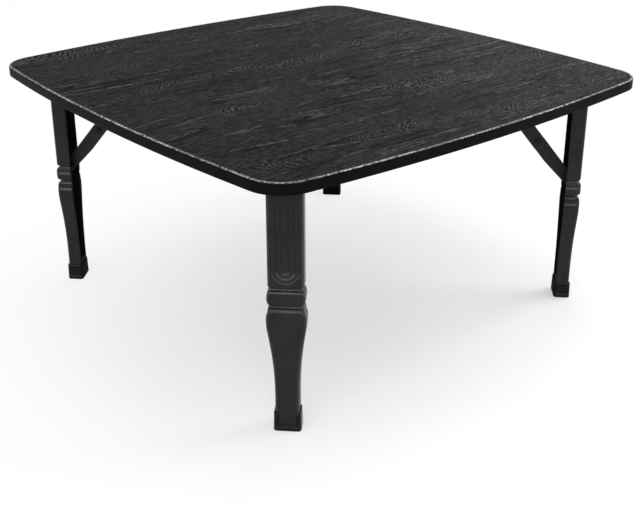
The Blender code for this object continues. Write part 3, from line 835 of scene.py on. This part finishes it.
def leg_heights(look):
    """Heights of the leg's rows: close together over mouldings and arches, wide apart elsewhere.

    Each stop is a height and the count of rows from it to the next stop.
    """
    stops = ((LEG_SOLE, 5), (FOOT_TOP + 1 * MM, 34), (TAPER_TOP, 14), (BLOCK_FOOT - 34 * MM, 60),
             (BLOCK_FOOT - 19 * MM, 20), (BLOCK_FOOT - 8 * MM, 40), (BLOCK_FOOT + 1 * MM, 40),
             (look.tongue_foot + 1 * MM, 18), (look.tongue_top - 2 * MM, 9), (look.tongue_top + 1 * MM, 8),
             (LEG_TOP - 1.5 * MM, 9), (LEG_TOP, 1))
    rows = [np.linspace(low, high, count, endpoint=False)
            for (low, count), (high, _) in zip(stops, stops[1:])]
    steps = np.array((CAVITY_FOOT, BLOCK_FOOT + LEG_WALL))
    rows += [np.array((LEG_TOP,)), steps, steps + LEDGE]
    return np.unique(np.round(np.concatenate(rows), 7))


def leg_highlights(z, y, lift, corner, look):
    """Weights of the painted highlight lines on the leg's front and on its sides, as bells about ridges.

    On the front the lines follow the members' rounded ends. The carved arches and the edges beside the
    front show there too.
    """
    down = BLOCK_FOOT - z
    crest = 0.0
    for _, deep, fillet, foot in (UPPER_PARTS, LOWER_PARTS):
        fillet_line = (1.0 - FILLET_SHARE) * deep + FILLET_SHARE * fillet
        crest = crest + bell(down - fillet_line, FILLET_LINE)
        crest = crest + MEMBER_WEIGHT * bell(down - foot + MEMBER_INSET - lift, MEMBER_LINE)
    arches = carving_depth(y, z, look) / look.carving_depth * ease((look.tongue_foot - z) / ARCH_FADE)
    front = np.maximum(np.maximum(CORNER_WEIGHT * corner, crest), ARCH_WEIGHT * arches)
    return front, sum(weight * bell(down / MM - place, width) for place, width, weight in SIDE_LINES)


def leg_surface(look):
    """A U-shaped section whose size follows the height: carved front, rounded edges and open back.

    Each row runs up one side, round the front and down the other, then back along the hollow. Where
    the leg is solid the hollow's floor lies just under its back.
    """
    z = leg_heights(look)[:, None]
    half = leg_half_width(z)
    lean = np.sqrt(np.clip((LEG_TOP - LEG_PIVOT[1]) ** 2 - (z - LEG_PIVOT[1]) ** 2, 0.0, None))
    back = np.where(z > LEG_PIVOT[1], np.maximum(LEG_BACK, LEG_PIVOT[0] - lean), LEG_BACK)

    turn = np.radians(np.linspace(-90, 0, 7))[None, :]
    across = np.linspace(-1.0, 1.0, 81)[None, 1:-1]
    near_y = -(half - FACE_EDGE) + FACE_EDGE * np.sin(turn)
    face_y = np.concatenate([near_y, across * (half - FACE_EDGE), -near_y[:, ::-1]], 1)
    drawn_in, corner = (np.concatenate([part, 0 * across, part[:, ::-1]], 1)
                        for part in (FACE_EDGE * (1.0 - np.cos(turn)), np.sin(2 * np.abs(turn))))
    lift = corner_lift(face_y, half)
    face_x = leg_face(z) - drawn_in - moulding_depth(z, lift) - carving_depth(face_y, z, look)
    side_x = back + (face_x[:, :1] - back) * np.array(SIDE_SHARES)
    side_y = np.broadcast_to(-half, side_x.shape)

    hollow = np.where(z > BLOCK_FOOT + LEG_WALL, BLOCK_FACE - FRONT_WALL, LEG_BACK + CAVITY_DEPTH)
    hollow = np.where(z > CAVITY_FOOT, hollow, back + LEDGE)
    inner = np.where(z > TAPER_TOP, CAVITY_HALF, np.minimum(CAVITY_HALF, half - LEG_WALL))
    inner_x = np.concatenate([back, hollow, hollow, back], 1)
    inner_y = np.concatenate([inner, inner, -inner, -inner], 1)

    x = np.concatenate([side_x, face_x, side_x[:, ::-1], inner_x], 1)
    y = np.concatenate([side_y, face_y, -side_y[:, ::-1], inner_y], 1)
    rings = np.stack([x, y, np.broadcast_to(z, x.shape)], -1)
    front, side = leg_highlights(z, face_y, lift, corner, look)
    side = np.broadcast_to(side, side_x.shape)
    edges = np.concatenate([side, front, side, np.zeros(inner_x.shape)], 1)
    # painted shade: 1 on the hollow and on the back's edges, 0 over the sides and the front
    shaded_back = np.ones(x.shape)
    shaded_back[:, 1:-1 - inner_x.shape[1]] = 0.0

    boss = np.array(((BOSS_FACE, STAY_BOSS / 2), (CAVITY_HALF + LEG_WALL / 4, STAY_BOSS / 2)))
    boss = pin_surface(boss, STAY_FOOT, BOSS_SIDES)
    # the edge layer carries the painted highlight lines, the inner layer the painted shade, over the whole
    # stay boss too
    wear_and_painted_light = {"edge": np.concatenate([edges.ravel(), np.zeros(len(boss[0]))]),
            "inner": np.concatenate([shaded_back.ravel(), np.ones(len(boss[0]))])}
    return joined([skin(rings), boss]), wear_and_painted_light


# Foot

def foot_surface(look):
    """A shoe: a rounded rectangle carried up the outside, over the rim and down into the socket.

    In front a window is pressed in above a lip, so that the shoe stands out only at its corners.
    """
    socket = SOCKET_PLAY - look.foot_proud
    lower = arc((-SOLE_ROUND, SOLE_ROUND), SOLE_ROUND, 270, 360, 6)
    outside = np.linspace(SOLE_ROUND + SOLE_SUPPORT, FOOT_TOP - FOOT_RIM, 14)[:, None] * (0.0, 1.0)
    upper = arc((-FOOT_RIM, FOOT_TOP - FOOT_RIM), FOOT_RIM, 0, 90, 5)[1:]
    inside = np.array(((socket, FOOT_TOP), (socket, FOOT_SOLE)))
    profile = np.concatenate([lower, outside, upper, inside])
    grow, z = profile[:, :1], profile[:, 1:]
    grow = grow + FOOT_FLARE * (1 - z / FOOT_TOP) * (grow > socket + SAME_PLACE)

    front, back = SHAFT_FACE + look.foot_proud, LEG_BACK - look.foot_proud
    side = WAIST_WIDTH / 2 + look.foot_proud - FOOT_EDGE
    ends = front - FOOT_EDGE, back + FOOT_EDGE
    turn = np.radians(np.linspace(0, 90, 7)) + np.arange(4)[:, None] * math.pi / 2
    corners = np.array(((ends[0], side), (ends[1], side), (ends[1], -side), (ends[0], -side)))
    flat = np.linspace(-1.0, 1.0, 41)[1:-1, None] * (0.0, side) + (ends[0], 0.0)
    normal = np.stack([np.cos(turn), np.sin(turn)], -1).reshape(-1, 2)
    normal = np.concatenate([np.tile((1.0, 0.0), (len(flat), 1)), normal])
    place = np.concatenate([flat, np.repeat(corners, turn.shape[1], 0)]) + FOOT_EDGE * normal
    (x, y), (out_x, out_y) = place.T, normal.T
    ring_x, ring_y = x + out_x * grow, y + out_y * grow

    pressed = ease((look.foot_window / 2 - np.abs(y)) / WINDOW_SLOPE) * (x > front - SAME_PLACE)
    pressed = pressed * ease((z - look.foot_lip) / WINDOW_SLOPE)
    ring_x = np.where(ring_x > WINDOW_FLOOR, ring_x + (WINDOW_FLOOR - ring_x) * pressed, ring_x)
    rings = np.stack([ring_x, ring_y, np.broadcast_to(z, ring_x.shape)], -1)
    # painted highlight lines along the top rim and the lip, and painted shade on the faces that point inwards
    # to the leg's back
    rims = np.clip(bell(z - FOOT_TOP, FOOT_LINE) + bell(z - look.foot_lip, FOOT_LINE), 0.0, 1.0)
    wear_and_painted_light = {"edge": np.broadcast_to(FOOT_WEIGHT * rims, ring_x.shape),
            "inner": np.broadcast_to(ease(-out_x), ring_x.shape)}
    return skin(rings), wear_and_painted_light


# Stays, pins and screws

def rib_surface(face, out):
    """A low bead along the lower link: half an ellipse across, drawn in to a round end.

    Its swell is the square root of 1 less the eighth power of the distance from its middle.
    """
    share = np.linspace(0.0, 1.0, 25)
    swell = np.sqrt(np.clip(1.0 - np.abs(2.0 * share - 1.0) ** 8, RIB_END_SWELL, 1.0))[:, None]
    turn = np.linspace(0.0, np.pi, 9)
    along = (RIB_START + (RIB_END - RIB_START) * share)[:, None, None]
    width = (RIB_WIDTH / 2 * swell * np.cos(turn))[..., None]
    upper_side = np.array((STAY_RUN[1], -STAY_RUN[0]))
    place = STAY_FOOT + along * STAY_RUN + width * upper_side
    rings = np.stack([place[..., 0], face + out * RIB_HEIGHT * swell * np.sin(turn), place[..., 1]], -1)
    return skin(rings)


def pin_profile(start, end, diameter):
    """A plain pin along its axis with its ends chamfered."""
    radius = diameter / 2
    return np.array(((start, radius - PIN_CHAMFER), (start + PIN_CHAMFER, radius),
                     (end - PIN_CHAMFER, radius), (end, radius - PIN_CHAMFER)))


def rivet_profile(face, shank_end):
    """A shank that ends in a sheet and a head domed by a quarter ellipse over the sheet's face."""
    out = 1.0 if face > shank_end else -1.0
    seat = face + out * SHEET_GAP
    turn = np.radians(np.linspace(0, 88, 10))
    rise = RIVET_HEIGHT * (RIVET_RIM + (1.0 - RIVET_RIM) * np.sin(turn))
    dome = np.stack([seat + out * rise, RIVET_HEAD / 2 * np.cos(turn)], -1)
    shank = STAY_PIN_DIAMETER / 2
    return np.concatenate([((shank_end, shank), (seat, shank), (seat, RIVET_HEAD / 2)), dome])


def pin_surface(profile, place, sides=PIN_SIDES):
    """Rows of (distance across the leg, radius) spun about an axis at a place of the swing plane."""
    turn = np.linspace(0.0, math.tau, sides, endpoint=False)
    across, radius = profile[:, :1], profile[:, 1:]
    rings = np.stack([place[0] + radius * np.cos(turn), np.broadcast_to(across, (len(profile), sides)),
                      place[1] + radius * np.sin(turn)], -1)
    return skin(rings)


def screw_surface(x, y):
    """A pan head under the rail: a dome over polar rings, pressed in along two crossing slots."""
    turn = np.linspace(0.0, math.tau, SCREW_SIDES, endpoint=False)
    inwards = np.cos(np.linspace(0.2, 1.0, 16) * np.pi / 2)[:-1]
    shares = np.concatenate([(0.96, 1.0), inwards, (0.03,)])[:, None]
    dome = SCREW_HEIGHT * np.sqrt(np.clip(1.0 - SCREW_FLATNESS * shares ** 2, 0.0, 1.0))
    dome[0] = 0.0
    u, v = (SCREW_HEAD / 2 * shares * wave for wave in (np.cos(turn), np.sin(turn)))
    slot = np.minimum(np.abs(u), np.abs(v))
    reach = np.maximum(np.abs(u), np.abs(v))
    pressed = ease((RECESS_SLOT - slot) / RECESS_SLOPE + 0.5) * ease((RECESS_REACH - reach) / RECESS_END)
    height = dome - RECESS_DEPTH * pressed * (dome > 0)
    return skin(np.stack([x + u, y + v, SCREW_SEAT - height], -1))


# Sizes and colours

def colour_property(name, description, default):
    return bpy.props.FloatVectorProperty(name=name, description=description, default=default,
                                         subtype="COLOR", size=3, min=0.0, max=1.0)


def length_property(name, description, default):
    return bpy.props.FloatProperty(name=name, description=description, default=default,
                                   subtype="DISTANCE", unit="LENGTH", min=0.0, precision=5)


def share_property(name, description, default):
    return bpy.props.FloatProperty(name=name, description=description, default=default,
                                   subtype="FACTOR", min=0.0, max=1.0)


class FoldingTableLook(bpy.types.PropertyGroup):
    """Sizes and colours of the finish that a user would change."""

    tongue_half: length_property("Inner Tongue", "Half width of the inner carved tongue", 3.8 * MM)
    reed_pitch: length_property("Reed Pitch", "Distance between the carved grooves", 5.3 * MM)
    carving_depth: length_property("Carving Depth", "Depth of the carved grooves", 1.1 * MM)
    tongue_top: length_property("Carving Top", "Height where the carving stops", 257.0 * MM)
    tongue_foot: length_property("Arch Centre", "Height of the centre of the carved arches", 186.2 * MM)
    tongue_count: bpy.props.IntProperty(name="Grooves", description="Nested grooves on each side",
                                        default=3, min=1, max=3)
    foot_proud: length_property("Foot Step", "How far the foot stands out from the leg", 1.5 * MM)
    foot_window: length_property("Foot Window", "Width of the foot's open front", 19.0 * MM)
    foot_lip: length_property("Foot Lip", "Height of the lip in front of the foot", 5.0 * MM)
    laminate_dark: colour_property("Grain Dark", "Dark streaks of the wood grain", (0.0030, 0.0027, 0.0030))
    laminate_mid: colour_property("Grain", "Plain tone of the wood grain", (0.0195, 0.0175, 0.0195))
    laminate_light: colour_property("Grain Light", "Pale lines and flecks", (0.095, 0.089, 0.095))
    laminate_gloss: share_property("Laminate Gloss", "Mirror strength of the laminate", 0.006)
    band_colour: colour_property("Edge Band", "Black of the edge band", (0.0024, 0.0022, 0.0024))
    trim_colour: colour_property("Trimmed Rim", "Pale core on the trimmed rim", (0.65, 0.635, 0.65))
    leg_colour: colour_property("Legs", "Black of the moulded legs", (0.0100, 0.0088, 0.0100))
    foot_colour: colour_property("Feet", "Black of the moulded feet", (0.0040, 0.0035, 0.0040))
    # grey of the painted highlight lines along ridges and of the scuffs
    highlight_and_scuff_colour: colour_property("Edge Highlights And Scuffs", "Grey of painted edge highlights and of scuffs", (0.20, 0.195, 0.20))
    stay_colour: colour_property("Stays", "Black coat of the stays", (0.0065, 0.0062, 0.0066))
    rail_colour: colour_property("Rails", "Black coat of the rails", (0.008, 0.0078, 0.008))
    scuff_colour: colour_property("Coat Scuffs", "Grey under the coat", (0.06, 0.06, 0.06))
    pin_colour: colour_property("Pins", "Blackened steel of the pins", (0.012, 0.012, 0.0125))
    screw_colour: colour_property("Screws", "Zinc of the screws", (0.32, 0.32, 0.33))
    board_dark: colour_property("Backing Dark", "Dark places of the backing film", (0.018, 0.0175, 0.018))
    board_light: colour_property("Backing Light", "Fibres that show through the film", (0.040, 0.038, 0.038))
    floor_colour: colour_property("Floor", "Pale floor", (0.97, 0.97, 0.97))
    floor_glow: share_property("Floor Glow", "Share of the floor's white under the table", 0.39)


# Operators

class FOLDING_TABLE_OT_tabletop(bpy.types.Operator):
    """Make the laminate sheet and the edge band, and finish the board under them"""
    bl_idname = "folding_table.tabletop"
    bl_label = "Tabletop"

    def execute(self, context):
        look = context.scene.folding_table
        shape, wear_and_painted_light = sheet_surface()
        finish = laminate_material(look)
        make_piece("laminate_sheet", shape, finish, "root", ("top_laminate",), wear_and_painted_light)
        shape, wear_and_painted_light = band_surface()
        make_piece("edge_band_strip", shape, band_material(look), "root", ("edge_band",), wear_and_painted_light)
        dress_node("top_board", backing_material(look))
        return {'FINISHED'}


class FOLDING_TABLE_OT_legs(bpy.types.Operator):
    """Make the four carved legs with their open backs"""
    bl_idname = "folding_table.legs"
    bl_label = "Carved Legs"

    def execute(self, context):
        look = context.scene.folding_table
        material = moulded_material(look, "satin_black_moulding", look.leg_colour, LEG_GLOSS)
        shape, wear_and_painted_light = leg_surface(look)
        make_at_corners("carved_leg", shape, material, "leg", "leg", wear_and_painted_light)
        return {'FINISHED'}


class FOLDING_TABLE_OT_feet(bpy.types.Operator):
    """Make the four moulded shoes under the legs"""
    bl_idname = "folding_table.feet"
    bl_label = "Feet"

    def execute(self, context):
        look = context.scene.folding_table
        material = moulded_material(look, "black_foot_moulding", look.foot_colour, FOOT_GLOSS)
        shape, wear_and_painted_light = foot_surface(look)
        make_at_corners("shoe", shape, material, "leg", "foot", wear_and_painted_light)
        return {'FINISHED'}


class FOLDING_TABLE_OT_stays(bpy.types.Operator):
    """Finish the folding stays and press a rib into each lower link"""
    bl_idname = "folding_table.stays"
    bl_label = "Stays"

    def execute(self, context):
        look = context.scene.folding_table
        material = painted_steel_material(look, "black_stay_coat", look.stay_colour, 1200.0)
        for corner in CORNERS:
            dress_node(f"stay_upper_{corner}", material)
            dress_node(f"stay_lower_{corner}", material)
        ribs = joined([rib_surface(SHEET_GAP, -1.0), rib_surface(LINK_FACE, 1.0)])
        make_at_corners("stay_rib", ribs, material, "stay_lower")
        return {'FINISHED'}


class FOLDING_TABLE_OT_pins(bpy.types.Operator):
    """Make the leg pins, stay pins and knee rivets"""
    bl_idname = "folding_table.pins"
    bl_label = "Pins and Rivets"

    def execute(self, context):
        look = context.scene.folding_table
        material = bare_steel_material("blackened_pin_steel", look.pin_colour, 0.35)
        leg_pin = pin_profile(*node_reach("leg_pin", ACROSS), LEG_PIN_DIAMETER)
        stay_pin = pin_profile(SHEET_GAP, node_reach("stay_leg_pin", ACROSS)[1], STAY_PIN_DIAMETER)
        rail_pin = rivet_profile(-LINK_FACE - SHEET_GAP - EAR_SHEET, -SHEET_GAP)
        pins = (
            ("leg_pin", "leg", leg_pin, LEG_PIVOT),
            ("stay_leg_pin", "leg", stay_pin, STAY_FOOT),
            ("stay_rail_pin", None, rail_pin, STAY_HEAD),
            ("knee_rivet", "stay_upper", rivet_profile(-LINK_FACE, -SHEET_GAP), KNEE),
            ("knee_rivet_tail", "stay_lower", rivet_profile(LINK_FACE, SHEET_GAP), KNEE),
        )
        for name, carrier, profile, place in pins:
            shape = pin_surface(profile, place)
            make_at_corners(f"turned_{name}", shape, material, carrier, name)
        return {'FINISHED'}


class FOLDING_TABLE_OT_rails(bpy.types.Operator):
    """Finish the pressed rails and make the screws that hold them"""
    bl_idname = "folding_table.rails"
    bl_label = "Rails and Screws"

    def execute(self, context):
        look = context.scene.folding_table
        coat = painted_steel_material(look, "black_rail_coat", look.rail_colour, 900.0)
        zinc = bare_steel_material("zinc_screw", look.screw_colour, 0.3)
        for corner in CORNERS:
            dress_node(f"rail_{corner}", coat)
        screws = joined([screw_surface(LEG_FACE - inset, side * SCREW_SPACING / 2)
                         for inset in SCREW_INSETS for side in (-1, 1)])
        make_at_corners("rail_screws", screws, zinc, None)
        return {'FINISHED'}


class FOLDING_TABLE_OT_stage(bpy.types.Operator):
    """Set the pale floor, the soft studio light and the camera"""
    bl_idname = "folding_table.stage"
    bl_label = "Stage"

    def execute(self, context):
        scene = context.scene
        scene.view_settings.view_transform = "Standard"
        floor = bpy.data.meshes.new("floor")
        floor.from_pydata([(-FLOOR_REACH, -FLOOR_REACH, 0), (FLOOR_REACH, -FLOOR_REACH, 0),
                           (FLOOR_REACH, FLOOR_REACH, 0), (-FLOOR_REACH, FLOOR_REACH, 0)], [], [(0, 1, 2, 3)])
        floor.materials.append(floor_material(scene.folding_table))
        floor = self.link(scene, "floor", floor, (0.0, 0.0, FLOOR_HEIGHT))

        self.light_world(scene)
        self.add_overhead(scene)
        for name, settings in SOFTBOXES.items():
            self.add_softbox(scene, name, *settings)

        camera = bpy.data.cameras.new("photo_camera")
        camera.lens = CAMERA_LENS
        camera.shift_y = CAMERA_SHIFT
        turn = (math.pi / 2 - CAMERA_PITCH, 0.0, -CAMERA_YAW)
        scene.camera = self.link(scene, "photo_camera", camera, CAMERA_PLACE, turn)
        return {'FINISHED'}

    @staticmethod
    def link(scene, name, data, place, turn=(0.0, 0.0, 0.0)):
        """An object of the scene at a place, turned about X, Y and Z."""
        item = bpy.data.objects.new(name, data)
        item.location = place
        item.rotation_euler = turn
        scene.collection.objects.link(item)
        return item

    @staticmethod
    def light_world(scene):
        """A white surround for the lens and for mirror rays, and a softer fill for the rest."""
        world = bpy.data.worlds.new("studio_surround")
        world.use_nodes = True
        build = Tree(world.node_tree)
        surround = world.node_tree.nodes["Background"]
        build.feed(surround.inputs["Color"], WHITE)
        build.feed(surround.inputs["Strength"], build.between(build.seen(), 0.0, 1.0, FILL_STRENGTH, 1.0))
        scene.world = world

    def add_overhead(self, scene):
        """A wide even light from above, a little from one side."""
        light = bpy.data.lights.new("overhead_light", "SUN")
        light.energy = OVERHEAD_POWER
        light.angle = OVERHEAD_SPREAD
        self.link(scene, "overhead_light", light, (0.0, 0.0, 0.0), OVERHEAD_TILT)

    def add_softbox(self, scene, name, place, sides, power):
        """A rectangular light that faces the middle of the table."""
        light = bpy.data.lights.new(name, "AREA")
        light.shape = "RECTANGLE"
        light.size, light.size_y = sides
        light.energy = power
        x, y, z = place
        turn = (math.atan2(math.hypot(x, y), z - TABLE_TOP / 2), 0.0, math.atan2(y, x) + math.pi / 2)
        self.link(scene, name, light, place, turn)


class FOLDING_TABLE_PT_panel(bpy.types.Panel):
    """Lists the pieces of the table and the values of its finish"""
    bl_label = "Folding Table"
    bl_idname = "FOLDING_TABLE_PT_panel"
    bl_space_type = "VIEW_3D"
    bl_region_type = "UI"
    bl_category = "Folding Table"

    def draw(self, context):
        look = context.scene.folding_table
        for operator in OPERATORS:
            self.layout.operator(operator.bl_idname)
        for name in look.__annotations__:
            self.layout.prop(look, name)


OPERATORS = (
    FOLDING_TABLE_OT_tabletop,
    FOLDING_TABLE_OT_legs,
    FOLDING_TABLE_OT_feet,
    FOLDING_TABLE_OT_stays,
    FOLDING_TABLE_OT_pins,
    FOLDING_TABLE_OT_rails,
    FOLDING_TABLE_OT_stage,
)
CLASSES = (FoldingTableLook, *OPERATORS, FOLDING_TABLE_PT_panel)


def register():
    for item in CLASSES:
        bpy.utils.register_class(item)
    bpy.types.Scene.folding_table = bpy.props.PointerProperty(type=FoldingTableLook)


def unregister():
    del bpy.types.Scene.folding_table
    for item in reversed(CLASSES):
        bpy.utils.unregister_class(item)


def main():
    register()
    bpy.ops.folding_table.tabletop()
    bpy.ops.folding_table.legs()
    bpy.ops.folding_table.feet()
    bpy.ops.folding_table.stays()
    bpy.ops.folding_table.pins()
    bpy.ops.folding_table.rails()
    bpy.ops.folding_table.stage()


if __name__ == "__main__":
    main()
